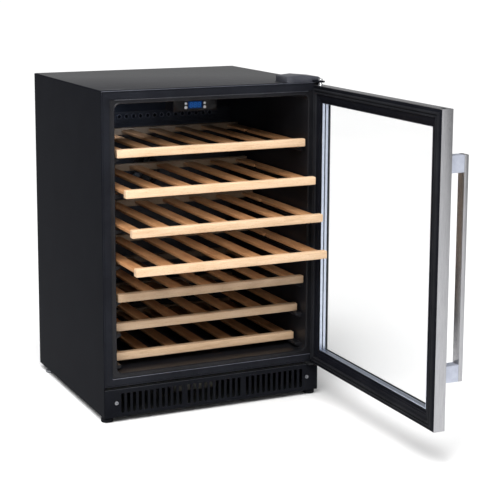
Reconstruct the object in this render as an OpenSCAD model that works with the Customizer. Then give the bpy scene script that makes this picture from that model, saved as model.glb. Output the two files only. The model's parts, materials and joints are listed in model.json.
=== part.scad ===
// Undercounter wine cooler with a right-hinged glass door and seven sliding beech shelves.
// Millimetres. X runs to the right, Y to the back, Z up; the origin is on the floor, midway between the feet.

/* [Cabinet] */
// Cabinet width
cabinet_w = 595; // [500:1:700]
// Cabinet depth without the door
cabinet_d = 530; // [450:1:620]
// Height of the cabinet top above the floor
cabinet_top = 826; // [780:1:900]
// Height of the side panels' lower edge above the floor
floor_gap = 14; // [10:1:45]
// Thickness of the sheet steel
sheet_t = 1.2; // [0.6:0.1:2]

/* [Cavity] */
// Width of the cavity
cavity_w = 524; // [440:1:600]
// Height of the cavity floor
cavity_low = 122; // [100:1:200]
// Height of the cavity ceiling
cavity_high = 794; // [700:1:830]
// Corner radius of the cavity mouth
cavity_r = 16; // [5:1:40]
// Depth of the liner behind the front plane
cavity_d = 506; // [400:1:510]
// Depth at which the rear cover stands
cover_y = 474; // [380:1:480]

/* [Door] */
// Opening angle of the door in this layout
door_open_deg = 89.3; // [0:0.1:105]
// Door leaf thickness
door_t = 29; // [24:1:45]
// Height of the door's lower edge
door_low = 93; // [85:1:140]
// Height of the door's upper edge
door_high = 819; // [700:1:836]
// Width of the frame around the glass
frame_w = 42; // [30:1:60]
// Distance from the hinge pin to the front plane of the cabinet
pin_front = 20; // [16:0.5:30]
// Distance from the hinge pin to the cabinet's side
pin_side = 12.5; // [8:0.5:20]

/* [Handle] */
// Height of the handle's lower end
handle_low = 197; // [110:1:400]
// Height of the handle's upper end
handle_high = 714; // [500:1:830]
// Width of the flat handle bar
handle_w = 26; // [15:1:40]
// Thickness of the handle bar
handle_t = 11; // [6:1:20]
// Gap between the door and the handle bar
handle_gap = 44; // [30:1:60]

/* [Shelves] */
// Width of a shelf
shelf_w = 512; // [420:1:520]
// Depth of a shelf
shelf_d = 414; // [300:1:430]
// Height of a front rail
rail_h = 20; // [12:1:40]
// Thickness of a front rail
rail_t = 18; // [10:1:30]
// Width of a slat
slat_w = 32; // [20:1:60]
// Thickness of a slat
slat_t = 7; // [5:0.5:12]
// Number of slats in a shelf
slat_count = 7; // [4:1:9]
// How far the slats lie below the rail's top
slat_drop = 6.5; // [0:0.5:12]

/* [Machinery] */
// Blades on each fan
fan_blades = 5; // [3:1:9]
// Slots in each outer group of the toe grille
slots_side = 11; // [5:1:14]
// Slots in the middle group of the toe grille
slots_mid = 10; // [5:1:14]

/* [Hidden] */
$fn = 40;
half_w = cabinet_w / 2;
foot_x = 283;
foot_r = 15;
// distances of the feet behind the front plane; the origin lies midway between them
foot_front = 22;
foot_back = 473;
front_y = -(foot_front + foot_back) / 2;
back_y = front_y + cabinet_d;
liner_t = 2;
// heights of the rails' tops and offsets of the rails behind the front plane, from the top shelf down
shelf_top = [681, 591, 502, 413, 323, 241, 160];
shelf_in = [2, -56, -96, -120, 4, 38, 56];
rib_h = 17.5;
rib_w = 20;
rib_gap = 0.3;
rail_edge = 2;
ledge_t = 14;
step_w = 24;
step_low = 113.5;
step_high = 804;
foam_low = 92;
pin_x = half_w - pin_side;
pin_y = front_y - pin_front;
pin_r = 4;
bush_r = 8;
run_gap = 0.06;
door_w = cabinet_w;
door_in = 14;
door_out = door_in - door_t;
gasket_t = 5.4;
gasket_w = 14;
gasket_edge = 8;
glass_t = 3.5;
glass_in = 2.5;
glass_edge = 36;
spacer_t = 9;
panel_y = 119;
panel_w = 120;
panel_low = 752;
display_z = 768;
button_x = 26;
grille_high = 84.5;
evap_fan_z = 547;
cond_x = -150;
cond_y = 360;
cond_z = 54;

module slab(x0, x1, y0, y1, z0, z1)
    translate([x0, y0, z0]) cube([x1 - x0, y1 - y0, z1 - z0]);

// rounded rectangle in XZ, extruded from depth y0 to y1
module round_plate(w, z0, z1, r, y0, y1)
    translate([0, y1, 0]) rotate([90, 0, 0]) linear_extrude(y1 - y0)
        union() {
            translate([-w / 2 + r, z0]) square([w - 2 * r, z1 - z0]);
            translate([-w / 2, z0 + r]) square([w, z1 - z0 - 2 * r]);
            for (x = [-w / 2 + r, w / 2 - r], z = [z0 + r, z1 - r]) translate([x, z]) circle(r);
        }

module rod_y(x, z, r, y0, y1)
    translate([x, y1, z]) rotate([90, 0, 0]) cylinder(r = r, h = y1 - y0);

module rod_z(x, y, r, z0, z1)
    translate([x, y, z0]) cylinder(r = r, h = z1 - z0);

module rod_x(y, z, r, x0, x1)
    translate([x0, y, z]) rotate([0, 90, 0]) cylinder(r = r, h = x1 - x0);

// outline in YZ, extruded from x0 to x1
module extrude_x(x0, x1)
    translate([x0, 0, 0]) rotate([90, 0, 90]) linear_extrude(x1 - x0) children();

// ---------- cabinet ----------

module outer_shell()
    color("#1d1e24")
    difference() {
        slab(-half_w, half_w, front_y, back_y - sheet_t, floor_gap, cabinet_top);
        slab(-half_w + sheet_t, half_w - sheet_t, front_y - 1, back_y, floor_gap - 1, cabinet_top - sheet_t);
        slab(-half_w - 1, half_w + 1, back_y - 14, back_y, floor_gap - 1, floor_gap + 6);
    }

module back_panel()
    color("#2a2b30")
    difference() {
        slab(-half_w, half_w, back_y - sheet_t, back_y, floor_gap + 4, cabinet_top);
        for (x = [-210 : 20 : 210], z = [32, 59])
            slab(x - 6, x + 6, back_y - 5, back_y + 1, z, z + 16);
        rod_y(250, 51, 9, back_y - 5, back_y + 1);
    }

module front_frame()
    color("#24262c")
    difference() {
        slab(-half_w + sheet_t, half_w - sheet_t, front_y, front_y + 2, foam_low, cabinet_top - sheet_t);
        slab(-half_w + step_w - 2, half_w - step_w + 2, front_y - 1, front_y + 3, step_low, step_high);
        // mitre lines at the corners
        for (s = [-1, 1], c = [[cabinet_top, -1], [foam_low, 1]])
            translate([s * half_w, front_y, c[0]]) rotate([0, s * c[1] * 45, 0])
                slab(-34, 34, -0.5, 0.4, -0.4, 0.4);
    }

module inner_liner()
    color("#17181c")
    difference() {
        union() {
            slab(-cavity_w / 2 - liner_t, cavity_w / 2 + liner_t, front_y + 2, front_y + cavity_d + liner_t,
                cavity_low - liner_t, cavity_high + liner_t);
            slab(-half_w + step_w - 8, half_w - step_w + 8, front_y + 2, front_y + 4,
                step_low - 6, step_high + 6);
            round_plate(cavity_w + 6, cavity_low - 3, cavity_high + 3, cavity_r + 3,
                front_y + 0.6, front_y + 3);
        }
        round_plate(cavity_w, cavity_low, cavity_high, cavity_r, front_y - 1, front_y + 20);
        slab(-cavity_w / 2, cavity_w / 2, front_y + 18, front_y + cavity_d, cavity_low, cavity_high);
    }

module shelf_ribs()
    color("#202127")
    for (z = shelf_top, s = [-1, 1]) {
        top = z - rail_h - rib_gap;
        wall = s * cavity_w / 2;
        inner = s * (cavity_w / 2 - rib_w);
        translate([0, front_y + cover_y - 4, 0]) rotate([90, 0, 0]) linear_extrude(cover_y - 26)
            polygon([[wall, top], [inner, top], [inner, top - 7], [wall, top - rib_h]]);
    }

module insulation()
    color("#e8dfc0")
    difference() {
        slab(-half_w + sheet_t, half_w - sheet_t, front_y + 4, back_y - sheet_t,
            foam_low, cabinet_top - sheet_t);
        slab(-cavity_w / 2 - liner_t, cavity_w / 2 + liner_t, front_y, front_y + cavity_d + liner_t,
            cavity_low - liner_t, cavity_high + liner_t);
    }

module base_pan()
    color("#3a3b40")
    difference() {
        union() {
            slab(-half_w + sheet_t, half_w - sheet_t, front_y + 6, back_y - sheet_t,
                floor_gap, floor_gap + 2);
            slab(-half_w + sheet_t, half_w - sheet_t, front_y + 6, front_y + 38,
                grille_high - 1, foam_low - 4);
            for (x = [-half_w + sheet_t, half_w - sheet_t - 3])
                slab(x, x + 3, front_y + 6, front_y + 38, floor_gap, foam_low - 4);
        }
        for (x = [-foot_x, foot_x], y = [front_y + foot_front, front_y + foot_back])
            rod_z(x, y, 5 + run_gap, 0, 60);
    }

module grille_group(count, pitch, centre)
    for (i = [0 : count - 1]) {
        x = centre + (i - (count - 1) / 2) * pitch;
        slab(x - 4.4, x + 4.4, front_y - 3, front_y + 5, 28, 73.5);
        rod_y(x, 28, 4.4, front_y - 3, front_y + 5);
    }

module toe_grille()
    color("#1b1c20")
    difference() {
        union() {
            slab(-half_w + sheet_t + 0.4, half_w - sheet_t - 0.4, front_y, front_y + 3,
                floor_gap, grille_high);
            slab(-half_w + 6, half_w - 6, front_y + 3, front_y + 6, floor_gap, floor_gap + 6);
        }
        grille_group(slots_side, 15.5, -171);
        grille_group(slots_mid, 15.5, 0);
        grille_group(slots_side, 15.5, 171);
        for (s = [-1, 1]) rod_y(s * 265.5, 51, 2.4, front_y - 3, front_y + 5);
    }

module grille_screws()
    color("#c9ccd2")
    for (s = [-1, 1])
        difference() {
            union() {
                rod_y(s * 265.5, 51, 5, front_y - 2.2, front_y);
                rod_y(s * 265.5, 51, 2.3, front_y, front_y + 12);
            }
            slab(s * 265.5 - 0.6, s * 265.5 + 0.6, front_y - 3, front_y - 1.3, 48, 54);
            slab(s * 265.5 - 3, s * 265.5 + 3, front_y - 3, front_y - 1.3, 50.4, 51.6);
        }

module foot(x, y) {
    rod_z(x, y, foot_r, 0, 9.5);
    rod_z(x, y, foot_r - 2.5, 9.5, 13.5);
    rod_z(x, y, 5, 13.5, 40);
    translate([x, y, floor_gap + 2.1]) cylinder(r = 9, h = 6, $fn = 6);
}

module front_feet()
    color("#151515")
    for (s = [-1, 1]) foot(s * foot_x, front_y + foot_front);

module rear_feet()
    color("#8d9096")
    for (s = [-1, 1]) foot(s * foot_x, front_y + foot_back);

module top_hinge()
    color("#2b2c31")
    difference() {
        union() {
            slab(215, half_w - 4, front_y + 6, front_y + 56, cabinet_top, cabinet_top + 4);
            slab(pin_x - 11, half_w - 4, pin_y, front_y + 8, cabinet_top, cabinet_top + 4);
            rod_z(pin_x, pin_y, 11, cabinet_top, cabinet_top + 4);
        }
        rod_z(pin_x, pin_y, pin_r, cabinet_top - 1, cabinet_top + 5);
        for (x = [232, 262]) rod_z(x, front_y + 34, 3.2, cabinet_top - 1, cabinet_top + 5);
    }

module top_hinge_screws()
    color("#b8bbc2")
    for (x = [232, 262]) {
        rod_z(x, front_y + 34, 5.5, cabinet_top + 4, cabinet_top + 7);
        rod_z(x, front_y + 34, 3.1, cabinet_top, cabinet_top + 4);
    }

module hinge_pins()
    color("#d5d8dd") {
        rod_z(pin_x, pin_y, pin_r, door_high - 18, cabinet_top + 4);
        rod_z(pin_x, pin_y, 6, cabinet_top + 4, cabinet_top + 9);
        rod_z(pin_x, pin_y, pin_r, foam_low - 4, door_low + 18);
    }

module hinge_cover()
    color("#1c1d21")
    difference() {
        translate([0, front_y + 64, 0]) rotate([90, 0, 0]) linear_extrude(64)
            polygon([[201, cabinet_top], [201, cabinet_top + 15], [240, cabinet_top + 18],
                [half_w - 8, cabinet_top + 13], [half_w, cabinet_top + 8], [half_w, cabinet_top]]);
        slab(205, half_w - 3, front_y + 3, front_y + 60, cabinet_top - 1, cabinet_top + 11);
        slab(pin_x - 12, half_w - 3, front_y - 1, front_y + 4, cabinet_top - 1, cabinet_top + 4.5);
    }

module bottom_hinge()
    color("#9a9ca2")
    difference() {
        union() {
            slab(pin_x - 24, half_w - 2, pin_y, front_y + 36, foam_low - 4, foam_low);
            slab(pin_x - 10, half_w - 2, pin_y - 10, pin_y, foam_low - 4, foam_low);
        }
        rod_z(pin_x, pin_y, pin_r, foam_low - 6, foam_low + 2);
    }

module hinge_hole_cap()
    color("#26272c")
    translate([0, 0, cabinet_top]) linear_extrude(1.6)
        polygon([[-half_w + 1, front_y + 1], [-238, front_y + 1], [-232, front_y + 15],
            [-half_w + 7, front_y + 15]]);

module evaporator_cover()
    color("#1a1b20")
    difference() {
        union() {
            // upright wall with its sloping top
            extrude_x(-cavity_w / 2, cavity_w / 2) translate([front_y + cover_y, 0])
                polygon([[0, cavity_low], [0, 715], [cavity_d - cover_y, 742], [cavity_d - cover_y, 738.8],
                    [2.5, 713.8], [2.5, cavity_low]]);
            for (z = [681 : 4 : 693])
                slab(-235, 235, front_y + cover_y - 1.6, front_y + cover_y + 1, z, z + 2);
        }
        for (i = [-9.5 : 1 : 9.5]) rod_y(i * 21, 702, 5, front_y + cover_y - 2, front_y + cover_y + 4);
        for (i = [-10 : 10], z = [167, 183])
            slab(i * 21 - 7, i * 21 + 7, front_y + cover_y - 2, front_y + cover_y + 4, z, z + 6);
        rod_y(0, evap_fan_z, 40, front_y + cover_y - 2, front_y + cover_y + 4);
    }

module evaporator_grille()
    color("#15161a")
    difference() {
        union() {
            difference() {
                rod_y(0, evap_fan_z, 45, front_y + cover_y - 1.4, front_y + cover_y);
                rod_y(0, evap_fan_z, 38, front_y + cover_y - 3, front_y + cover_y + 1);
            }
            for (r = [10, 19, 28])
                difference() {
                    rod_y(0, evap_fan_z, r + 1.2, front_y + cover_y - 1.4, front_y + cover_y);
                    rod_y(0, evap_fan_z, r, front_y + cover_y - 3, front_y + cover_y + 1);
                }
            for (a = [0 : 60 : 120])
                translate([0, front_y + cover_y - 0.7, evap_fan_z]) rotate([0, a, 0])
                    cube([80, 1.4, 2.4], center = true);
        }
    }

module finned_coil(x0, x1, y0, y1, z0, z1, pitch, rows) {
    count = floor((x1 - x0) / pitch);
    for (i = [1 : count - 1]) slab(x0 + i * pitch, x0 + i * pitch + 1, y0, y1, z0, z1);
    for (z = rows) rod_x((y0 + y1) / 2, z, 4, x0, x1);
    for (x = [x0, x1 - 1.5]) slab(x, x + 1.5, y0 - 2.5, y1 + 2, z0 - 2, z1 + 2);
}

module evaporator_coil()
    color("#b9bdc4")
    finned_coil(-186, 186, front_y + 479, front_y + 503, 627, 677, 15, [637, 652, 667]);

module fan_housing(x, y, z, w, t)
    difference() {
        slab(x - w / 2, x + w / 2, y, y + t, z - w / 2, z + w / 2);
        rod_y(x, z, w / 2 - 2, y - 1, y + t + 1);
    }

module fan_struts(x, y, z, w)
    difference() {
        union() {
            rod_y(x, z, 11, y, y + 3);
            for (a = [45, 135])
                translate([x, y + 1.5, z]) rotate([0, a, 0]) cube([w - 4, 3, 4], center = true);
        }
        rod_y(x, z, 1.5 + run_gap, y - 1, y + 5);
    }

module fan_rotor(x, y, z, r, t)
    difference() {
        union() {
            rod_y(x, z, 10, y, y + t);
            for (i = [0 : fan_blades - 1])
                translate([x, y + t / 2, z]) rotate([0, i * 360 / fan_blades, 0])
                    translate([r / 2 + 4, 0, 0]) rotate([32, 0, 0])
                        cube([r - 8, 1.6, r * 0.42], center = true);
            rod_y(x, z, 1.5, y + t, y + t + 6.5);
        }
        rod_y(x, z, 7, y - 1, y + 3);
    }

module evaporator_fan_frame()
    color("#2a2b30") {
        fan_housing(0, front_y + cover_y + 2.5, evap_fan_z, 92, 24);
        fan_struts(0, front_y + cover_y + 23.5, evap_fan_z, 92);
    }

module evaporator_fan_rotor()
    color("#303238")
    fan_rotor(0, front_y + cover_y + 6.5, evap_fan_z, 40, 13);

module led_light()
    color("#dfe8ff")
    slab(-215, -95, front_y + 60, front_y + 74, cavity_high - 7, cavity_high);

module control_box()
    color("#23252b")
    difference() {
        slab(-panel_w / 2, panel_w / 2, front_y + panel_y, front_y + panel_y + 52, panel_low, cavity_high);
        slab(-20, 20, front_y + panel_y - 1, front_y + panel_y + 1.6, display_z - 9.5, display_z + 9.5);
        for (x = [-button_x, button_x]) {
            rod_y(x, display_z + 4, 3.4, front_y + panel_y - 1, front_y + panel_y + 7);
            rod_y(x, display_z - 6, 4.2, front_y + panel_y - 1, front_y + panel_y + 7);
        }
    }

module display_window()
    color("#3e74c0")
    slab(-19.8, 19.8, front_y + panel_y - 0.2, front_y + panel_y + 1.6, display_z - 9.3, display_z + 9.3);

module button_cap(x, z, r) {
    rod_y(x, z, r, front_y + panel_y - 1.6, front_y + panel_y + 4);
    rod_y(x, z, r - 1, front_y + panel_y + 4, front_y + panel_y + 5.5);
}

module button_power()
    color("#f2f4f7") button_cap(-button_x, display_z + 4, 3.1);

module button_light()
    color("#f2f4f7") button_cap(-button_x, display_z - 6, 3.9);

module button_up()
    color("#f2f4f7") button_cap(button_x, display_z + 4, 3.1);

module button_down()
    color("#f2f4f7") button_cap(button_x, display_z - 6, 3.9);

// ---------- machine compartment ----------

module compressor()
    color("#18181a") {
        rod_x(front_y + 430, 53, 33, 60, 190);
        rod_x(front_y + 430, 53, 29, 52, 198);
        for (x = [80, 170]) slab(x - 12, x + 12, front_y + 395, front_y + 465, floor_gap + 2, 23);
        rod_z(125, front_y + 430, 5, 85, 90);
    }

module condenser()
    color("#4a4c52") {
        finned_coil(-234, -66, front_y + 290, front_y + 320, 27, 81, 10, [37, 54, 71]);
        for (x = [-234, -67.5]) slab(x, x + 1.5, front_y + 290, front_y + 320, floor_gap + 2, 25);
    }

module condenser_fan_frame()
    color("#222327") {
        fan_housing(cond_x, front_y + cond_y, cond_z, 72, 22);
        fan_struts(cond_x, front_y + cond_y + 19, cond_z, 72);
        slab(cond_x - 36, cond_x + 36, front_y + cond_y, front_y + cond_y + 22, floor_gap + 2, cond_z - 36);
    }

module condenser_fan_rotor()
    color("#d8dadd")
    fan_rotor(cond_x, front_y + cond_y + 3, cond_z, 31, 12);

module electronics_box()
    color("#d5d3cc")
    difference() {
        slab(-60, 60, front_y + 120, front_y + 230, floor_gap + 2, 71);
        slab(-57, 57, front_y + 117, front_y + 227, 47, 67);
    }

module cord_gland()
    color("#121212")
    difference() {
        union() {
            rod_y(250, 51, 9 - 0.02, back_y - 12, back_y);
            rod_y(250, 51, 12, back_y, back_y + 4);
            rod_y(250, 51, 7, back_y + 4, back_y + 12);
        }
        rod_y(250, 51, 3.6, back_y - 14, back_y + 14);
    }

// ---------- door, drawn closed with its pin at the origin ----------

module door_pose()
    translate([pin_x, pin_y, 0]) rotate([0, 0, door_open_deg]) children();

door_r = pin_side;
door_l = pin_side - door_w;
handle_x = door_l + 17;

// frame that runs round the leaf: edge inset a to inset b, depth y0 to y1
module door_ring(a, b, y0, y1)
    difference() {
        slab(door_l + a, door_r - a, y0, y1, door_low + a, door_high - a);
        slab(door_l + b, door_r - b, y0 - 1, y1 + 1, door_low + b, door_high - b);
    }

module bush_bores(r)
    for (z = [door_low - 1, door_high - 21]) rod_z(0, 0, r, z, z + 22);

// bores for the handle screws, from the leaf's outer skin inwards
module handle_bores(r, y0, y1)
    for (z = [handle_low + 20, handle_high - 20]) rod_y(handle_x + handle_w / 2, z, r, y0, y1);

module door_trim()
    color("#c4c6cb")
    door_pose() difference() {
        union() {
            door_ring(0, 1.2, door_out, door_in - 0.6);
            door_ring(0, frame_w, door_out, door_out + 1.5);
        }
        bush_bores(bush_r);
        translate([0, 0, door_high - 3]) linear_extrude(6) cap_outline(4);
        handle_bores(3, door_out - 1, door_out + 2);
    }

module door_inner_frame()
    color("#202126")
    door_pose() difference() {
        union() {
            door_ring(1.2, 35, door_out + 1.5, door_in);
            door_ring(34, frame_w, glass_in - 2 * glass_t - spacer_t, 9);
        }
        door_ring(31, 35, door_in - 1.5, door_in + 1);
        slab(door_l + glass_edge, door_r - glass_edge, door_out, glass_in,
            door_low + glass_edge, door_high - glass_edge);
        bush_bores(bush_r);
        translate([0, 0, door_high - 3]) linear_extrude(6) cap_outline(4);
        handle_bores(5.4, door_out + 1, door_out + 5);
    }

module gasket()
    color("#2c2d31")
    door_pose() difference() {
        door_ring(gasket_edge, gasket_edge + gasket_w, door_in, door_in + gasket_t);
        door_ring(gasket_edge + 5, gasket_edge + 9, door_in + gasket_t - 1.6, door_in + gasket_t + 1);
    }

module pane(y0)
    slab(door_l + glass_edge, door_r - glass_edge, y0, y0 + glass_t,
        door_low + glass_edge, door_high - glass_edge);

module glass_inner()
    color("#dfeaf0", 0.4)
    door_pose() pane(glass_in - glass_t);

module glass_outer()
    color("#cfd8de", 0.4)
    door_pose() pane(glass_in - 2 * glass_t - spacer_t);

module glass_spacer()
    color("#d3d6db")
    door_pose() {
        door_ring(glass_edge + 1, frame_w, glass_in - glass_t - spacer_t, glass_in - glass_t);
        door_ring(frame_w, frame_w + 1.2, glass_in, 9);
    }

module hinge_bushes()
    color("#dcdee2")
    door_pose() difference() {
        union() {
            rod_z(0, 0, bush_r, door_low, door_low + 20);
            rod_z(0, 0, bush_r, door_high - 20, door_high);
            rod_z(0, 0, 6.5, door_high, door_high + 3);
        }
        rod_z(0, 0, pin_r + run_gap, door_low - 2, door_low + 19);
        rod_z(0, 0, pin_r + run_gap, door_high - 19, door_high + 5);
    }

module cap_outline(r)
    translate([door_l + 18, (door_in + door_out) / 2, 0]) {
        for (x = [-4, 4]) translate([x, 0, 0]) circle(r);
        translate([-4, -r]) square([8, 2 * r]);
    }

module door_cap()
    color("#1a1a1c")
    door_pose() translate([0, 0, door_high - 3]) difference() {
        linear_extrude(3.4) cap_outline(4);
        translate([0, 0, 1]) linear_extrude(4) cap_outline(2.2);
    }

module handle_bar()
    color("#c7c9ce")
    door_pose()
        slab(handle_x, handle_x + handle_w, door_out - handle_gap - handle_t, door_out - handle_gap,
            handle_low, handle_high);

module handle_brackets()
    color("#d6d8dd")
    door_pose()
        for (z = [handle_low, handle_high - 40])
            difference() {
                slab(handle_x + 0.5, handle_x + handle_w - 0.5, door_out - handle_gap, door_out,
                    z + 0.5, z + 39.5);
                rod_y(handle_x + handle_w / 2, z + 20, 3, door_out - 20, door_out + 1);
            }

module handle_screws()
    color("#aeb1b7")
    door_pose()
        for (z = [handle_low + 20, handle_high - 20]) {
            rod_y(handle_x + handle_w / 2, z, 3, door_out - 18, door_out + 1.5);
            rod_y(handle_x + handle_w / 2, z, 5, door_out + 1.5, door_out + 4.5);
        }

// ---------- shelves ----------

module shelf_rails_at(i) {
    top = shelf_top[i];
    y = front_y + shelf_in[i];
    difference() {
        slab(-shelf_w / 2, shelf_w / 2, y, y + rail_t, top - rail_h, top);
        for (z = [top, top - rail_h]) translate([0, y, z]) rotate([45, 0, 0])
            slab(-shelf_w, shelf_w, -rail_edge * 0.7, rail_edge * 0.7, -rail_edge * 0.7, rail_edge * 0.7);
        for (x = [-shelf_w / 2, shelf_w / 2]) translate([x, y, top - rail_h - 1]) rotate([0, 0, 45])
            slab(-rail_edge, rail_edge, -rail_edge, rail_edge, 0, rail_h + 2);
    }
    slab(-shelf_w / 2 + 1, shelf_w / 2 - 1, y + shelf_d - ledge_t, y + shelf_d, top - rail_h, top - 1);
}

module shelf_slats_at(i) {
    top = shelf_top[i] - slat_drop;
    y = front_y + shelf_in[i] + rail_t;
    reach = shelf_w / 2 - 3.5 - slat_w / 2;
    for (k = [0 : slat_count - 1]) {
        x = -reach + k * 2 * reach / (slat_count - 1);
        difference() {
            slab(x - slat_w / 2, x + slat_w / 2, y, y + shelf_d - rail_t - ledge_t, top - slat_t, top);
            // stop notch in the inner edge of each side bar
            if (k == 0 || k == slat_count - 1)
                translate([x - sign(x) * slat_w / 2, y + 262, top]) cube([9, 16, 30], center = true);
        }
    }
}

module shelf_1_rails() color("#e6c496") shelf_rails_at(0);
module shelf_2_rails() color("#e6c496") shelf_rails_at(1);
module shelf_3_rails() color("#e6c496") shelf_rails_at(2);
module shelf_4_rails() color("#e6c496") shelf_rails_at(3);
module shelf_5_rails() color("#e6c496") shelf_rails_at(4);
module shelf_6_rails() color("#e6c496") shelf_rails_at(5);
module shelf_7_rails() color("#e6c496") shelf_rails_at(6);
module shelf_1_slats() color("#d9b183") shelf_slats_at(0);
module shelf_2_slats() color("#d9b183") shelf_slats_at(1);
module shelf_3_slats() color("#d9b183") shelf_slats_at(2);
module shelf_4_slats() color("#d9b183") shelf_slats_at(3);
module shelf_5_slats() color("#d9b183") shelf_slats_at(4);
module shelf_6_slats() color("#d9b183") shelf_slats_at(5);
module shelf_7_slats() color("#d9b183") shelf_slats_at(6);

outer_shell();
back_panel();
front_frame();
inner_liner();
shelf_ribs();
insulation();
base_pan();
toe_grille();
grille_screws();
front_feet();
rear_feet();
top_hinge();
top_hinge_screws();
hinge_pins();
hinge_cover();
bottom_hinge();
hinge_hole_cap();
evaporator_cover();
evaporator_grille();
evaporator_coil();
evaporator_fan_frame();
evaporator_fan_rotor();
led_light();
control_box();
display_window();
button_power();
button_light();
button_up();
button_down();
compressor();
condenser();
condenser_fan_frame();
condenser_fan_rotor();
electronics_box();
cord_gland();
door_trim();
door_inner_frame();
gasket();
glass_inner();
glass_outer();
glass_spacer();
door_cap();
hinge_bushes();
handle_bar();
handle_brackets();
handle_screws();
shelf_1_rails();
shelf_1_slats();
shelf_2_rails();
shelf_2_slats();
shelf_3_rails();
shelf_3_slats();
shelf_4_rails();
shelf_4_slats();
shelf_5_rails();
shelf_5_slats();
shelf_6_rails();
shelf_6_slats();
shelf_7_rails();
shelf_7_slats();
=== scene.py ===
import bmesh
import bpy
import json
import math
import random
from mathutils import Matrix, Vector


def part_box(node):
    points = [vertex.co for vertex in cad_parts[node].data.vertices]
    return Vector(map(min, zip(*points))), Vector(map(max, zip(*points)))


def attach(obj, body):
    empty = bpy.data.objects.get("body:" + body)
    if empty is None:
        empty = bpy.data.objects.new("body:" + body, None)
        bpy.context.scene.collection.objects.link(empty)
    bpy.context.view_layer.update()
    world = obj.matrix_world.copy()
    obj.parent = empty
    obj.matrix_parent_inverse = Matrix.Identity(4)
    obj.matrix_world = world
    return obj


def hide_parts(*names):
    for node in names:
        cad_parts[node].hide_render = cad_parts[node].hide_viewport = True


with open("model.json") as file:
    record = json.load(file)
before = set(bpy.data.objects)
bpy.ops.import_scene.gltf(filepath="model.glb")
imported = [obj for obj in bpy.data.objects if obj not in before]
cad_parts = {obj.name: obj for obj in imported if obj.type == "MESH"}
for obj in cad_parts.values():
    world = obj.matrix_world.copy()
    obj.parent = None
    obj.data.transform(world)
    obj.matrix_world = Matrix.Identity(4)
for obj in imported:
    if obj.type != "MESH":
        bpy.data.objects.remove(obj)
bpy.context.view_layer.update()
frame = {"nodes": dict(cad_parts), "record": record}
random.seed(7)
mm = 0.001
nodes = frame["nodes"]
bodyOf = {node: body for body, members in frame["record"]["behaviour"]["bodies"].items() for node in members}
slotOf = {part["node"]: part["material_slot"] for part in frame["record"]["subparts"]}
print("frame loaded:", len(nodes), "parts")

cameraSetup = {
    "place": (-1.413179, -3.367394, 1.160220),
    "yaw": 0.421128,
    "pitch": 0.160841,
    "lens": 100.54,
    "shift": (0.0825, -0.15),
}


def makeCamera(setup):
    data = bpy.data.cameras.new("camera")
    data.sensor_width = 36
    data.lens = setup["lens"]
    data.shift_x, data.shift_y = setup["shift"]
    data.clip_end = 300
    camera = bpy.data.objects.new("camera", data)
    bpy.context.scene.collection.objects.link(camera)
    yaw, pitch = setup["yaw"], setup["pitch"]
    ahead = Vector((math.sin(yaw) * math.cos(pitch), math.cos(yaw) * math.cos(pitch), -math.sin(pitch)))
    right = Vector((math.cos(yaw), -math.sin(yaw), 0))
    up = right.cross(ahead)
    turn = Matrix((right, up, -ahead)).transposed().to_4x4()
    camera.matrix_world = Matrix.Translation(setup["place"]) @ turn
    bpy.context.scene.camera = camera


makeCamera(cameraSetup)


# a new material, its shader, and the place on the object that its pattern follows
def newMaterial(name):
    material = bpy.data.materials.new(name)
    material.use_nodes = True
    tree = material.node_tree
    shader = next(n for n in tree.nodes if n.type == "BSDF_PRINCIPLED")
    place = tree.nodes.new("ShaderNodeTexCoord")
    return material, tree, shader, place.outputs["Object"]


def stretch(tree, vector, scale):
    node = tree.nodes.new("ShaderNodeMapping")
    node.inputs["Scale"].default_value = scale
    tree.links.new(vector, node.inputs["Vector"])
    return node.outputs["Vector"]


def noise(tree, vector, scale, detail, rough=0.5):
    node = tree.nodes.new("ShaderNodeTexNoise")
    node.inputs["Scale"].default_value = scale
    node.inputs["Detail"].default_value = detail
    node.inputs["Roughness"].default_value = rough
    tree.links.new(vector, node.inputs["Vector"])
    return node.outputs["Fac"]


def ramp(tree, value, stops):
    node = tree.nodes.new("ShaderNodeValToRGB")
    colours = node.color_ramp.elements
    while len(colours) < len(stops):
        colours.new(0.5)
    for mark, (where, colour) in zip(colours, stops):
        mark.position = where
        mark.color = (*colour, 1)
    tree.links.new(value, node.inputs["Fac"])
    return node.outputs["Color"]


# most of a noise lies between 0.3 and 0.7, which is stretched to low and high
def spread(tree, value, low, high, fromLow=0.3, fromHigh=0.7):
    node = tree.nodes.new("ShaderNodeMapRange")
    node.inputs["From Min"].default_value = fromLow
    node.inputs["From Max"].default_value = fromHigh
    node.inputs["To Min"].default_value = low
    node.inputs["To Max"].default_value = high
    tree.links.new(value, node.inputs["Value"])
    return node.outputs["Result"]


def bump(tree, shader, height, strength, depth):
    node = tree.nodes.new("ShaderNodeBump")
    node.inputs["Strength"].default_value = strength
    node.inputs["Distance"].default_value = depth
    tree.links.new(height, node.inputs["Height"])
    tree.links.new(node.outputs["Normal"], shader.inputs["Normal"])


# one finish: two tones clouded together, a range of roughness and a fine relief
def surface(name, low, high, rough, cloud=14, grain=900, relief=0.15, depth=0.0002, metal=0.0, shine=0.5,
            pull=(1, 1, 1)):
    material, tree, shader, place = newMaterial(name)
    pulled = stretch(tree, place, pull)
    clouds = noise(tree, pulled, cloud, 5, 0.6)
    tree.links.new(ramp(tree, clouds, [(0.35, low), (0.65, high)]), shader.inputs["Base Color"])
    fine = noise(tree, pulled, grain, 2, 0.6)
    tree.links.new(spread(tree, fine, *rough), shader.inputs["Roughness"])
    bump(tree, shader, fine, relief, depth)
    shader.inputs["Metallic"].default_value = metal
    shader.inputs["Specular IOR Level"].default_value = shine
    return material


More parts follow.
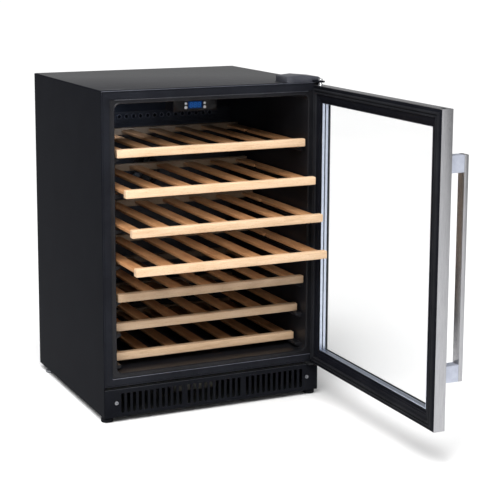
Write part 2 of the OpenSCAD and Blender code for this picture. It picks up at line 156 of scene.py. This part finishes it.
# scale, detail and roughness of the noises in the beech, and how many times longer than wide its grain is
woodGrain = {
    "long": 9,
    "figure": (9, 6, 0.62),
    "lines": (26, 4, 0.55),
    "linesFiner": 3,
    "flecks": (190, 2, 0.5),
    "flecksFiner": 0.9,
    "fleckStrength": 0.55,
    "fleckColour": (0.50, 0.33, 0.20, 1),
    "linesShare": 0.45,
    "stops": (0.30, 0.45, 0.58, 0.72),
    "roughness": (0.42, 0.6),
}


# the plank attribute moves a stick's grain along, and the tone attribute darkens its colour as painted shade
def beechWood(name, along, tones):
    grain = woodGrain
    material, tree, shader, place = newMaterial(name)
    pull = (1, grain["long"], grain["long"]) if along == "x" else (grain["long"], 1, grain["long"])
    plank = tree.nodes.new("ShaderNodeAttribute")
    plank.attribute_name = "plank"
    shifted = tree.nodes.new("ShaderNodeVectorMath")
    tree.links.new(place, shifted.inputs[0])
    tree.links.new(plank.outputs["Vector"], shifted.inputs[1])
    figure = noise(tree, stretch(tree, shifted.outputs[0], pull), *grain["figure"])
    finer = grain["linesFiner"]
    lines = noise(tree, stretch(tree, shifted.outputs[0], (pull[0], pull[1] * finer, pull[2] * finer)),
                  *grain["lines"])
    tone = tree.nodes.new("ShaderNodeMix")
    tone.inputs["Factor"].default_value = grain["linesShare"]
    tree.links.new(figure, tone.inputs["A"])
    tree.links.new(lines, tone.inputs["B"])
    wood = ramp(tree, tone.outputs["Result"], list(zip(grain["stops"], tones)))
    finer = grain["flecksFiner"]
    flecks = noise(tree, stretch(tree, shifted.outputs[0], (pull[0], pull[1] * finer, pull[2] * finer)),
                   *grain["flecks"])
    mark = tree.nodes.new("ShaderNodeMix")
    mark.data_type = "RGBA"
    mark.blend_type = "MULTIPLY"
    tree.links.new(spread(tree, flecks, 0, grain["fleckStrength"], 0.60, 0.70), mark.inputs["Factor"])
    tree.links.new(wood, mark.inputs["A"])
    mark.inputs["B"].default_value = grain["fleckColour"]
    # painted shade: the wood's colour is multiplied by the tone attribute
    depth = tree.nodes.new("ShaderNodeAttribute")
    depth.attribute_name = "tone"
    shadeDarkened = tree.nodes.new("ShaderNodeMix")
    shadeDarkened.data_type = "RGBA"
    shadeDarkened.blend_type = "MULTIPLY"
    shadeDarkened.inputs["Factor"].default_value = 1
    tree.links.new(mark.outputs["Result"], shadeDarkened.inputs["A"])
    tree.links.new(depth.outputs["Color"], shadeDarkened.inputs["B"])
    tree.links.new(shadeDarkened.outputs["Result"], shader.inputs["Base Color"])
    tree.links.new(spread(tree, lines, *grain["roughness"]), shader.inputs["Roughness"])
    bump(tree, shader, lines, 0.2, 0.0002)
    shader.inputs["Specular IOR Level"].default_value = 0.35
    return material


def clearGlass(name, low, high, cover):
    material, tree, shader, place = newMaterial(name)
    clouds = noise(tree, place, 5, 2)
    tree.links.new(ramp(tree, clouds, [(0.3, low), (0.7, high)]), shader.inputs["Base Color"])
    shader.inputs["Alpha"].default_value = cover
    shader.inputs["Roughness"].default_value = 0.02
    return material


def lampCover(name, low, high, strength, shine=0.5):
    material, tree, shader, place = newMaterial(name)
    stripes = noise(tree, stretch(tree, place, (30, 1, 1)), 12, 2)
    colour = ramp(tree, stripes, [(0.35, low), (0.65, high)])
    tree.links.new(colour, shader.inputs["Base Color"])
    tree.links.new(colour, shader.inputs["Emission Color"])
    shader.inputs["Emission Strength"].default_value = strength
    shader.inputs["Roughness"].default_value = 0.3
    shader.inputs["Specular IOR Level"].default_value = shine
    return material


# each record slot's finish, and further finishes for single parts
finishes = {
    "black_steel": surface("satinBlackSteel", (0.005, 0.0055, 0.0078), (0.0058, 0.0064, 0.0089), (0.3, 0.42),
                           grain=1300, shine=0.004),
    "zinc_steel": surface("zincSteel", (0.36, 0.37, 0.39), (0.43, 0.44, 0.46), (0.34, 0.48),
                          cloud=60, metal=1.0),
    "top_sheet": surface("satinTopSheet", (0.0075, 0.008, 0.0105), (0.0105, 0.011, 0.0145), (0.26, 0.36),
                         grain=1300, shine=0.45),
    "black_panel": surface("blackPaintedPanel", (0.0085, 0.009, 0.0118), (0.0125, 0.0135, 0.0175),
                           (0.3, 0.42), shine=0.03),
    "black_liner": surface("blackLinerPlastic", (0.0075, 0.0075, 0.009), (0.011, 0.011, 0.013), (0.26, 0.38),
                           grain=700, relief=0.1, shine=0.16),
    "foam": surface("pouredFoam", (0.72, 0.62, 0.38), (0.84, 0.74, 0.5), (0.8, 0.95),
                    grain=300, relief=0.6, depth=0.001),
    "bright_steel": surface("brightSteel", (0.62, 0.63, 0.65), (0.78, 0.79, 0.81), (0.16, 0.3),
                            cloud=80, metal=1.0),
    "black_rubber": surface("blackRubber", (0.007, 0.0075, 0.0095), (0.012, 0.0125, 0.015), (0.6, 0.8),
                            grain=1100, relief=0.3, shine=0.08),
    "coil_metal": surface("coilAluminium", (0.42, 0.43, 0.45), (0.6, 0.61, 0.63), (0.3, 0.45),
                          cloud=90, metal=1.0),
    "fan_plastic": surface("fanPlastic", (0.022, 0.023, 0.026), (0.035, 0.036, 0.04), (0.36, 0.5)),
    "light_cover": lampCover("lampCover", (0.62, 0.74, 1.0), (0.75, 0.84, 1.0), 9.0),
    "display": lampCover("displayGlow", (0.003, 0.017, 0.072), (0.004, 0.024, 0.095), 0.55, 0.04),
    "white_plastic": surface("whitePlastic", (0.78, 0.8, 0.84), (0.86, 0.88, 0.92), (0.25, 0.4)),
    "compressor_steel": surface("compressorPaint", (0.008, 0.008, 0.008), (0.016, 0.016, 0.017), (0.22, 0.36),
                                relief=0.2),
    "grey_plastic": surface("greyPlastic", (0.42, 0.41, 0.38), (0.5, 0.49, 0.46), (0.4, 0.55)),
    "stainless": surface("brushedStainless", (0.34, 0.34, 0.355), (0.43, 0.43, 0.445), (0.24, 0.38),
                         cloud=60, grain=260, relief=0.12, metal=1.0, pull=(14, 14, 0.35)),
    "door_black": surface("doorBlackPlastic", (0.0055, 0.006, 0.0085), (0.0085, 0.009, 0.012), (0.26, 0.4),
                          grain=900, relief=0.1, shine=0.02),
    "bracket": surface("satinBracket", (0.46, 0.49, 0.58), (0.54, 0.57, 0.66), (0.42, 0.55),
                       cloud=80, grain=900, relief=0.08, metal=0.7),
    "hinge_shell": surface("satinHingeShell", (0.034, 0.036, 0.046), (0.046, 0.048, 0.060), (0.24, 0.34),
                           grain=900, shine=0.6),
    "small_screw": surface("darkZincScrew", (0.15, 0.155, 0.17), (0.24, 0.245, 0.26), (0.2, 0.34),
                           cloud=200, grain=1500, metal=1.0),
    "cover_plastic": surface("rearCoverPlastic", (0.016, 0.017, 0.021), (0.024, 0.025, 0.030), (0.3, 0.42),
                             grain=700, relief=0.1, shine=0.2),
    # painted highlight: the light finish of the strips that stand for edge highlights
    "light_edge": surface("satinFoldedEdge", (0.085, 0.09, 0.115), (0.11, 0.115, 0.14), (0.24, 0.34),
                          grain=900, shine=0.5),
    "grille_paint": surface("grillePaint", (0.0058, 0.0062, 0.0082), (0.0075, 0.008, 0.0102), (0.34, 0.46),
                            shine=0.012),
    "base_sheet": surface("darkBaseSheet", (0.012, 0.0125, 0.014), (0.02, 0.0205, 0.022), (0.35, 0.5),
                          shine=0.1),
    "clear_glass": clearGlass("clearGlass", (0.10, 0.13, 0.13), (0.14, 0.17, 0.17), 0.03),
    "spacer_metal": surface("spacerAluminium", (0.58, 0.64, 0.76), (0.66, 0.72, 0.84), (0.30, 0.42),
                            cloud=120, grain=700, metal=1.0),
    "beech": beechWood("beechAlongX", "x", [(0.50, 0.315, 0.18), (0.63, 0.435, 0.27), (0.70, 0.50, 0.33),
                                            (0.75, 0.56, 0.39)]),
}
# the slats are the same beech with darker tones: painted shade between the shelves
beechAlongY = beechWood("beechAlongY", "y", [(0.24, 0.105, 0.04), (0.36, 0.175, 0.075), (0.44, 0.23, 0.105),
                                             (0.54, 0.31, 0.155)])
print("finishes made:", len(finishes) + 1)


# turns a bmesh into a finished piece; soft is the width of its bevelled edges, in mm
def finishPiece(name, bm, body, slot, replaced=(), material=None, smooth=35, soft=0.0, place=None):
    if place is not None:
        bmesh.ops.transform(bm, matrix=place, verts=bm.verts)
    mesh = bpy.data.meshes.new(name)
    bm.to_mesh(mesh)
    bm.free()
    mesh.materials.append(material or finishes[slot])
    piece = bpy.data.objects.new(name, mesh)
    bpy.context.scene.collection.objects.link(piece)
    for face in mesh.polygons:
        face.use_smooth = True
    if soft:
        bevel = piece.modifiers.new("softEdges", "BEVEL")
        bevel.width = soft * mm
        bevel.segments = 2
        bevel.limit_method = "ANGLE"
        bevel.angle_limit = math.radians(32)
        bevel.harden_normals = True
    else:
        mesh.set_sharp_from_angle(angle=math.radians(smooth))
    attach(piece, body)
    if replaced:
        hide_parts(*replaced)
    return piece


# a part's lowest and highest corners, in mm
def corners(node):
    low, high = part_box(node)
    return low / mm, high / mm


# keeps the vertices that a step adds, so that they can be moved or marked on their own
def added(bm, before):
    return [v for v in bm.verts if v not in before]


def roundEdges(bm, edges, edge, rounds):
    bmesh.ops.bevel(bm, geom=edges, offset=edge * mm, offset_type="OFFSET", segments=rounds, profile=0.5,
                    affect="EDGES", clamp_overlap=True, material=-1)


# a straight bar from corner to corner, all its edges rounded
def addBar(bm, low, high, edge, rounds):
    before = set(bm.verts)
    low, high = Vector(low) * mm, Vector(high) * mm
    verts = bmesh.ops.create_cube(bm, size=1.0)["verts"]
    bmesh.ops.scale(bm, vec=high - low, verts=verts)
    bmesh.ops.translate(bm, vec=(low + high) / 2, verts=verts)
    roundEdges(bm, list({e for v in verts for e in v.link_edges}), edge, rounds)
    return added(bm, before)


# a flat outline in XY raised from z0 to z1, all its edges rounded
def addPlate(bm, outline, z0, z1, edge, rounds):
    before = set(bm.verts)
    base = bm.faces.new([bm.verts.new(Vector((x, y, z0)) * mm) for x, y in outline])
    raised = bmesh.ops.extrude_face_region(bm, geom=[base])["geom"]
    lifted = [g for g in raised if isinstance(g, bmesh.types.BMVert)]
    bmesh.ops.translate(bm, vec=(0, 0, (z1 - z0) * mm), verts=lifted)
    faces = list({f for v in added(bm, before) for f in v.link_faces})
    bmesh.ops.recalc_face_normals(bm, faces=faces)
    roundEdges(bm, list({e for f in faces for e in f.edges}), edge, rounds)
    return added(bm, before)


# a turned shape: (radius, height) points, spun round Z, then laid along axis at centre
def addTurned(bm, profile, centre, axis, steps):
    before = set(bm.verts)
    verts = [bm.verts.new((r * mm, 0, h * mm)) for r, h in profile]
    edges = [bm.edges.new(pair) for pair in zip(verts, verts[1:])]
    bmesh.ops.spin(bm, geom=verts + edges, cent=(0, 0, 0), axis=(0, 0, 1), angle=2 * math.pi, steps=steps,
                   use_merge=True, use_duplicate=False)
    made = added(bm, before)
    bmesh.ops.remove_doubles(bm, verts=made, dist=1e-6)
    made = added(bm, before)
    bmesh.ops.recalc_face_normals(bm, faces=list({f for v in made for f in v.link_faces}))
    if axis == "y":
        bmesh.ops.rotate(bm, cent=(0, 0, 0), matrix=Matrix.Rotation(math.pi / 2, 3, "X"), verts=made)
    bmesh.ops.translate(bm, vec=Vector(centre) * mm, verts=made)
    return made


# a rectangle in XZ inset step by step; a step is (inwards, along the normal), and the last face is given back
def insetFrom(bm, x0, x1, z0, z1, y, facing, steps, corner=0.0):
    points = [(x0, y, z0), (x1, y, z0), (x1, y, z1), (x0, y, z1)]
    face = bm.faces.new([bm.verts.new(Vector(p) * mm) for p in (points if facing < 0 else reversed(points))])
    if corner:
        bmesh.ops.bevel(bm, geom=list(face.verts), offset=corner * mm, offset_type="OFFSET", segments=8,
                        profile=0.5, affect="VERTICES", clamp_overlap=True, material=-1)
        face = bm.faces[:][0]
    face.normal_update()
    for inward, out in steps:
        bmesh.ops.inset_region(bm, faces=[face], thickness=inward * mm, depth=out * mm, use_even_offset=True,
                               use_boundary=True)
    return face


# the same with its middle taken out, closed behind as a ring
def addRing(bm, x0, x1, z0, z1, y, facing, steps):
    face = insetFrom(bm, x0, x1, z0, z1, y, facing, steps)
    inner = list(face.edges)
    outer = [e for e in bm.edges if e.is_boundary]
    bmesh.ops.delete(bm, geom=[face], context="FACES_ONLY")
    bmesh.ops.bridge_loops(bm, edges=outer + inner)
    bmesh.ops.recalc_face_normals(bm, faces=bm.faces)


floorHalf = 80      # metres


def makeStage():
    bm = bmesh.new()
    bmesh.ops.create_grid(bm, x_segments=1, y_segments=1, size=floorHalf)
    mesh = bpy.data.meshes.new("floor")
    bm.to_mesh(mesh)
    bm.free()
    mesh.materials.append(surface("paleFloor", (0.86, 0.86, 0.86), (0.9, 0.9, 0.9), (0.75, 0.9),
                                  cloud=1.5, grain=60, relief=0.0))
    floor = bpy.data.objects.new("floor", mesh)
    bpy.context.scene.collection.objects.link(floor)
    world = bpy.data.worlds.new("studio")
    world.use_nodes = True
    world.node_tree.nodes["Background"].inputs["Color"].default_value = (1, 1, 1, 1)
    bpy.context.scene.world = world
    bpy.context.scene.view_settings.view_transform = "Standard"


lights = {
    "skyStrength": 0.34,
    "sun": {"from": (-0.34, -0.45, 1.0), "strength": 3.4, "spread": 48},
    "panels": {
        "softLeft": {"place": (-2.6, -3.4, 2.6), "aim": (0, -0.2, 0.5), "size": 1.6, "watts": 22},
        "softTop": {"place": (-0.6, -0.4, 3.4), "aim": (-0.1, 0, 0.8), "size": 1.6, "watts": 12},
        "softFront": {"place": (-0.45, -1.5, 1.6), "aim": (0.0, -0.2, 0.70), "size": 0.6, "watts": 13},
        "cabinetLamp": {"place": (-0.155, -0.01, 0.762), "aim": (-0.165, 0.24, 0.760), "size": 0.04,
                        "watts": 0.36, "tint": (0.62, 0.76, 1.0)},
    },
}


def makeLights(setup):
    world = bpy.context.scene.world
    world.node_tree.nodes["Background"].inputs["Strength"].default_value = setup["skyStrength"]
    spec = setup["sun"]
    sun = bpy.data.lights.new("sun", "SUN")
    sun.energy = spec["strength"]
    sun.angle = math.radians(spec["spread"])
    light = bpy.data.objects.new("sun", sun)
    bpy.context.scene.collection.objects.link(light)
    light.rotation_euler = Vector(spec["from"]).to_track_quat("Z", "Y").to_euler()
    for name, spec in setup["panels"].items():
        data = bpy.data.lights.new(name, "AREA")
        data.shape = "SQUARE"
        data.size = spec["size"]
        data.energy = spec["watts"]
        data.color = spec.get("tint", (1, 1, 1))
        light = bpy.data.objects.new(name, data)
        bpy.context.scene.collection.objects.link(light)
        light.location = spec["place"]
        ahead = Vector(spec["aim"]) - Vector(spec["place"])
        light.rotation_euler = ahead.to_track_quat("-Z", "Y").to_euler()


makeStage()
makeLights(lights)
print("stage and lights made")

done = set()      # parts that a newly modelled piece stands for


# a shelf is two rails and seven slats, its side slats notched for the stop; it fills its part's box
shelf = {
    "rail": (18, 20),
    "railRound": 2.4,
    "rearRail": 14,
    "rearShorter": 1,
    "rearLower": 1,
    "rearRound": 1.6,
    "slat": (32, 7),
    "slatRound": 1.3,
    "slatCount": 7,
    "slatDrop": 6.5,
    "sideGap": 3.5,
    "notch": {"near": 254, "far": 270, "cut": 4.5},
    # painted shade: each shelf's tone darkens its rails, most on the lower shelves, which lie in the shade of
    # the shelf above
    "tones": [1.0, 1.0, 0.94, 0.94, 0.52, 0.62, 0.92],
    # painted shade: the rear rail, deeper in the cabinet, is darkened further
    "rearTone": 0.27,
    # painted shade: each shelf's slats, lying in the shade between the shelves, are darkened
    "slatTones": [0.88, 0.95, 1.0, 1.0, 0.8, 0.7, 0.62],
}


# each stick takes its own part of the grain, and a tone that darkens it as painted shade, varied a little at
# random
def markPlank(bm, verts, tone):
    values = {"plank": random.uniform(0, 9), "tone": tone * random.uniform(0.96, 1.04)}
    for name, value in values.items():
        layer = bm.verts.layers.float[name]
        for v in verts:
            v[layer] = value


def startWood():
    bm = bmesh.new()
    for name in ("plank", "tone"):
        bm.verts.layers.float.new(name)
    return bm


def makeShelf(number, s):
    railsNode = "shelf_%d_rails" % number
    slatsNode = "shelf_%d_slats" % number
    boxLow, boxHigh = corners(railsNode)
    half, top = boxHigh.x, boxHigh.z
    front, rear = boxLow.y, boxHigh.y
    wide, tall = s["rail"]
    tone = s["tones"][number - 1]
    rails = startWood()
    verts = addBar(rails, (-half, front, top - tall), (half, front + wide, top), s["railRound"], 4)
    markPlank(rails, verts, tone)
    shorter = half - s["rearShorter"]
    verts = addBar(rails, (-shorter, rear - s["rearRail"], top - tall), (shorter, rear, top - s["rearLower"]),
                   s["rearRound"], 3)
    markPlank(rails, verts, tone * s["rearTone"])
    finishPiece("beechRails%d" % number, rails, "shelf_%d" % number, "beech", [railsNode])
    slats = startWood()
    start = front + s["rail"][0]
    wide, thick = s["slat"]
    reach = half - s["sideGap"] - wide / 2
    low, back = top - s["slatDrop"] - thick, rear - s["rearRail"]
    for k in range(s["slatCount"]):
        x = -reach + k * 2 * reach / (s["slatCount"] - 1)
        side = 1 if k == 0 else -1 if k == s["slatCount"] - 1 else 0
        if side:     # side bars have a stop notch in their inner edge
            near, far = start + s["notch"]["near"], start + s["notch"]["far"]
            deep = x + side * (wide / 2 - s["notch"]["cut"])
            inner, outer = x + side * wide / 2, x - side * wide / 2
            outline = [(outer, start), (inner, start), (inner, near), (deep, near), (deep, far), (inner, far),
                       (inner, back), (outer, back)]
            verts = addPlate(slats, outline, low, low + thick, s["slatRound"], 3)
        else:
            verts = addBar(slats, (x - wide / 2, start, low), (x + wide / 2, back, low + thick),
                           s["slatRound"], 3)
        markPlank(slats, verts, s["slatTones"][number - 1])
    finishPiece("beechSlats%d" % number, slats, "shelf_%d" % number, "beech", [slatsNode], beechAlongY)
    done.update([railsNode, slatsNode])


for number in range(1, len(shelf["tones"]) + 1):
    makeShelf(number, shelf)
print("shelves made")


# folded sheet with rounded top edges, open at the front, foot and back
shell = {"fold": 3.0, "sheet": 1.2, "topInset": 2.6, "topThick": 1.0, "topProud": 0.4}


def makeShell(s):
    bm = bmesh.new()
    verts = bmesh.ops.create_cube(bm, size=1.0)["verts"]
    low, high = corners("outer_shell")
    middle = (low + high) / 2 * mm
    bmesh.ops.scale(bm, vec=(high - low) * mm, verts=verts)
    bmesh.ops.translate(bm, vec=middle, verts=verts)
    topEdges = [e for e in bm.edges if all(v.co.z > middle.z for v in e.verts)
                and abs(e.verts[0].co.y - e.verts[1].co.y) > 0.1]
    roundEdges(bm, topEdges, s["fold"], 4)
    bm.normal_update()
    openFaces = [f for f in bm.faces if abs(f.normal.y) > 0.9 or f.normal.z < -0.9]
    bmesh.ops.delete(bm, geom=openFaces, context="FACES")
    bmesh.ops.solidify(bm, geom=bm.faces[:], thickness=s["sheet"] * mm)
    finishPiece("cabinetShell", bm, "cabinet", "black_steel", ["outer_shell"], soft=0.35)
    done.add("outer_shell")
    # the top sheet lies between the folds, its face just above the shell's
    inset = s["topInset"]
    bm = bmesh.new()
    addBar(bm, (low.x + inset, low.y + inset, high.z - s["topThick"]),
           (high.x - inset, high.y, high.z + s["topProud"]), 0.3, 2)
    finishPiece("topSheet", bm, "cabinet", "black_steel", material=finishes["top_sheet"])


# one vacuum-formed tub with a rolled lip round its mouth; a step is (inwards, outwards)
liner = {
    "edge": (275.5, 111.5, 806.0), "front": -245.5, "corner": 29.5, "depth": 504, "wall": 2.0,
    "lip": [(8.6, 0), (0.8, 0.8), (1.1, 0.6), (0.9, 0.1), (0.8, -0.2), (0.6, -0.6), (0.4, -1), (0.25, -2)],
    "flange": [(0.3, 0.8), (9.4, 0), (0.3, -0.8)], "flangeSunk": 1.2,
}


def makeLiner(s):
    bm = bmesh.new()
    half, low, high = s["edge"]
    sunk = sum(out for _, out in s["lip"])
    steps = s["lip"] + [(0.05, -(s["depth"] + sunk))]
    insetFrom(bm, -half, half, low, high, s["front"], -1, steps, s["corner"])
    bmesh.ops.solidify(bm, geom=bm.faces[:], thickness=s["wall"] * mm)
    finishPiece("linerTub", bm, "cabinet", "black_liner", ["inner_liner"], smooth=40)
    bm = bmesh.new()
    addRing(bm, -half, half, low, high, s["front"] + s["flangeSunk"], -1, s["flange"])
    finishPiece("linerFlange", bm, "cabinet", "black_liner")
    done.add("inner_liner")


# the face frame has a groove near its outer edge and a slightly crowned band, mitred at the corners
faceFrame = {
    "steps": [(0.05, 1.4), (0.5, 0.5), (2.4, 0.05), (0.4, -1.1), (0.9, 0), (0.4, 1.1), (2.6, 0.25),
              (3.2, 0.08), (3.2, 0), (3.2, -0.08), (2.6, -0.25), (1.2, -0.3), (0.25, -1.4)],
}


def makeFaceFrame(s):
    bm = bmesh.new()
    low, high = corners("front_frame")
    addRing(bm, low.x, high.x, low.z, high.z, high.y, -1, s["steps"])
    finishPiece("faceFrame", bm, "cabinet", "black_panel", ["front_frame"], smooth=20)
    done.add("front_frame")


# a dark raised ring inside the edge of the face frame, painted shade standing for the shadow in the gap
# between frame and liner lip
frameBead = {
    "edge": (275.4, 111.6, 805.9), "face": -245.6,
    "steps": [(0.2, 0.9), (0.9, 0.2), (1.2, -0.2), (0.2, -0.9)],
}


def makeShadeGapRing(s):
    bm = bmesh.new()
    half, low, high = s["edge"]
    addRing(bm, -half, half, low, high, s["face"], -1, s["steps"])
    finishPiece("frameBead", bm, "cabinet", "black_panel", material=finishes["black_rubber"])


# thin light strips, painted highlights along the cavity's sill and lintel, the top front edge and the
# grille's top edge: (half length, height, finish)
highlightStrips = {
    "thick": 1.3, "deep": 1.8,
    "lines": {
        "sillEdge": (274.8, 111.2, "light_edge"),
        "grilleEdge": (295.6, 84.0, "cover_plastic"),
        "topEdge": (296.0, 823.6, "light_edge"),
        "lintelEdge": (262.0, 801.8, "hinge_shell"),
    },
}


def makeHighlightStrip(name, s):
    half, low, finish = s["lines"][name]
    face = corners("outer_shell")[0].y
    bm = bmesh.new()
    addBar(bm, (-half, face, low), (half, face + s["deep"], low + s["thick"]), 0.5, 3)
    finishPiece(name, bm, "cabinet", "black_panel", material=finishes[finish])


makeShell(shell)
for name in highlightStrips["lines"]:
    makeHighlightStrip(name, highlightStrips)
makeLiner(liner)
makeFaceFrame(faceFrame)
makeShadeGapRing(frameBead)
print("shell and liner made")


# a raised collar round each air hole of the rear cover
collars = {"count": 20, "pitch": 21, "height": 702, "face": 226.5, "bore": 5.0, "rim": 7.2, "proud": 1.6}


def makeCollars(s):
    bm = bmesh.new()
    bore, rim, proud = s["bore"], s["rim"], s["proud"]
    profile = [(bore, -1), (bore, proud - 0.5), (bore + 0.5, proud), (rim - 0.6, proud), (rim, proud - 0.6),
               (rim, -1), (bore, -1)]
    for i in range(s["count"]):
        x = (i - (s["count"] - 1) / 2) * s["pitch"]
        addTurned(bm, profile, (x, s["face"], s["height"]), "y", 16)
    finishPiece("airHoleCollars", bm, "cabinet", "black_panel", material=finishes["hinge_shell"])


makeCollars(collars)


# sunk window of the control panel, with the figures lit in it
display = {
    "window": (39, 18), "thick": 1.4, "sunk": 0.2,
    "figures": [-11, 0, 11], "figure": (6.6, 11.5), "stroke": 1.5, "lean": 0.1, "gaps": (0.9, 0.7),
    "figureProud": 0.12, "figureSunk": 0.3,
}


def makeDisplay(s):
    low, high = corners("display_window")
    x, z = (low.x + high.x) / 2, (low.z + high.z) / 2
    face = low.y + s["sunk"]
    wide, tall = s["window"]
    bm = bmesh.new()
    addBar(bm, (x - wide / 2, face, z - tall / 2), (x + wide / 2, face + s["thick"], z + tall / 2), 0.8, 2)
    finishPiece("displayWindow", bm, "cabinet", "display", ["display_window"])
    done.add("display_window")
    w, h = s["figure"]
    lying = [(0, h / 2), (0, 0), (0, -h / 2)]
    standing = [(-w / 2, h / 4), (w / 2, h / 4), (-w / 2, -h / 4), (w / 2, -h / 4)]
    halfStroke = s["stroke"] / 2
    lyingHalf = (w / 2 - s["gaps"][0], halfStroke)
    standingHalf = (halfStroke, h / 4 - s["gaps"][1])
    front, back = face - s["figureProud"], face + s["figureSunk"]
    bm = bmesh.new()
    for across in s["figures"]:
        for dx, dz in lying + standing:
            cx, cz = x + across + dx + s["lean"] * dz, z + dz
            a, b = lyingHalf if (dx, dz) in lying else standingHalf
            addBar(bm, (cx - a, front, cz - b), (cx + a, back, cz + b), 0.25, 1)
    finishPiece("displayFigures", bm, "cabinet", "display",
                material=lampCover("litFigures", (0.012, 0.085, 0.32), (0.018, 0.11, 0.38), 0.9, 0.04))


makeDisplay(display)
print("control panel made")


# levelling feet: a base as (radius, height) points, a stem as radius, low, high and thread pitch,
# and a lock nut as half width, low and high
feet = {
    "baseRadius": 15,
    "base": [(0, 0), (13.4, 0), (14.6, 0.8), (15, 2), (15, 7.2), (14.4, 8.6), (12.9, 9.4), (12.4, 10.2),
             (12.2, 12.6), (11.4, 13.4), (5.6, 13.4), (5.0, 14)],
    "stem": (4.9, 13.4, 40, 1.5),
    "nut": (9, 16.1, 22.1),
}


def makeFeet(name, node, material=None):
    boxLow, boxHigh = corners(node)
    across, y = boxHigh.x - feet["baseRadius"], (boxLow.y + boxHigh.y) / 2
    radius, low, high, pitch = feet["stem"]
    nutAcross, nutLow, nutHigh = feet["nut"]
    turns = [math.radians(60 * k) for k in range(6)]
    bm = bmesh.new()
    for x in (-across, across):
        profile = list(feet["base"]) + [(radius, low + 1)]
        z = low + 2
        while z < high - pitch:      # thread shown as rings
            profile += [(radius, z), (radius - 0.5, z + pitch / 2)]
            z += pitch
        profile += [(radius - 0.4, high), (0, high)]
        addTurned(bm, profile, (x, y, 0), "z", 28)
        outline = [(x + nutAcross * math.cos(turn), y + nutAcross * math.sin(turn)) for turn in turns]
        addPlate(bm, outline, nutLow, nutHigh, 0.5, 2)
    finishPiece(name, bm, "cabinet", slotOf[node], [node], material)
    done.add(node)


makeFeet("frontFeet", "front_feet")
makeFeet("rearFeet", "rear_feet", finishes["small_screw"])


# screws round the edge of the back panel
backScrews = {
    "profile": [(0, 0.9), (1.6, 0.9), (1.9, 1.5), (3.2, 1.3), (4.0, 0.7), (4.2, 0), (0, 0)],
    "across": [-285, -95, 95, 285], "sides": [137, 277, 417, 557, 697], "rows": [813, 99],
}


def makeBackScrews(s):
    bm = bmesh.new()
    places = [(x, z) for x in s["across"] for z in s["rows"]]
    places += [(x, z) for x in (s["across"][0], s["across"][-1]) for z in s["sides"]]
    face = corners("back_panel")[1].y
    turn = Matrix.Rotation(math.pi, 4, "Z")
    for x, z in places:
        addTurned(bm, s["profile"], (-x, -face, z), "y", 20)
    finishPiece("backScrews", bm, "cabinet", "zinc_steel", place=turn)


makeBackScrews(backScrews)
print("feet and screws made")


# the door is modelled closed round its pin and then opened
door = {
    "pin": (285, -267.5), "angle": 89.3, "left": -582.5, "right": 12.5, "low": 93, "high": 819, "inner": 14,
}
swing = Matrix.Rotation(math.radians(door["angle"]), 4, "Z")
openDoor = Matrix.Translation(Vector((*door["pin"], 0)) * mm) @ swing

seal = {
    "edge": 8.0,
    "steps": [(0.3, 3.2), (0.9, 1.5), (1.6, 0.6), (1.4, -0.2), (0.8, -1.2), (0.6, -1.6), (1.6, -0.2),
              (0.6, 1.6), (0.8, 1.2), (1.4, 0.2), (1.6, -0.6), (1.0, -1.5), (0.4, -3.0)],
}


def makeSeal(s, d):
    bm = bmesh.new()
    e = s["edge"]
    addRing(bm, d["left"] + e, d["right"] - e, d["low"] + e, d["high"] - e, d["inner"], 1, s["steps"])
    finishPiece("doorSeal", bm, "door", slotOf["gasket"], ["gasket"], place=openDoor)
    done.add("gasket")


makeSeal(seal, door)

# dark sealant round the edge of the sealed glass unit
unitEdge = {"edge": 36.6, "face": -10.0, "steps": [(0.4, 1.9), (5.6, 0), (0.5, -0.3), (0.1, -1.6)]}


def makeUnitEdge(s, d):
    bm = bmesh.new()
    e = s["edge"]
    addRing(bm, d["left"] + e, d["right"] - e, d["low"] + e, d["high"] - e, s["face"], 1, s["steps"])
    finishPiece("unitSealant", bm, "door", "black_rubber", place=openDoor)


makeUnitEdge(unitEdge, door)
print("door seal made")


# parts that keep their own shape and get soft edges, in mm
softEdge = {
    "back_panel": 0.5, "shelf_ribs": 2.2, "base_pan": 0.5, "toe_grille": 0.9,
    "grille_screws": 0.3, "top_hinge": 0.8, "top_hinge_screws": 0.6, "hinge_pins": 0.6, "hinge_cover": 2.5,
    "bottom_hinge": 1.0, "hinge_hole_cap": 0.6, "evaporator_cover": 0.5, "evaporator_grille": 0.4,
    "control_box": 2.2, "door_inner_frame": 0.8, "door_trim": 0.5, "door_cap": 0.8, "hinge_bushes": 0.8,
    "handle_bar": 1.4, "handle_brackets": 1.2, "handle_screws": 0.4, "compressor": 3.0,
    "electronics_box": 2.0, "cord_gland": 0.8, "condenser_fan_frame": 0.8, "evaporator_fan_frame": 0.8,
    "led_light": 1.0,
    "button_power": 0.6, "button_light": 0.6, "button_up": 0.6, "button_down": 0.6,
    "condenser_fan_rotor": 0.5, "evaporator_fan_rotor": 0.5,
}


# parts whose finish differs from the rest of their slot
ownFinish = {
    "handle_brackets": "bracket", "hinge_cover": "hinge_shell", "grille_screws": "small_screw",
    "base_pan": "base_sheet", "hinge_hole_cap": "cover_plastic", "bottom_hinge": "base_sheet",
    "evaporator_cover": "cover_plastic", "toe_grille": "grille_paint",
}


# a copy of the part's own mesh, its triangles joined into flat faces and its edges softened
def softenNode(node, width):
    bm = bmesh.new()
    bm.from_mesh(nodes[node].data)
    bmesh.ops.remove_doubles(bm, verts=bm.verts, dist=1e-6)
    bmesh.ops.dissolve_limit(bm, angle_limit=math.radians(0.6), verts=bm.verts, edges=bm.edges,
                             use_dissolve_boundaries=False)
    words = node.split("_")
    name = words[0] + "".join(w.capitalize() for w in words[1:])
    finish = finishes[ownFinish.get(node, slotOf[node])]
    finishPiece(name, bm, bodyOf[node], slotOf[node], [node], finish, soft=width)


for node in nodes:
    if node in done:
        continue
    if node in softEdge:
        softenNode(node, softEdge[node])
    else:
        nodes[node].data.materials.clear()
        nodes[node].data.materials.append(finishes[slotOf[node]])
print("softened parts made")
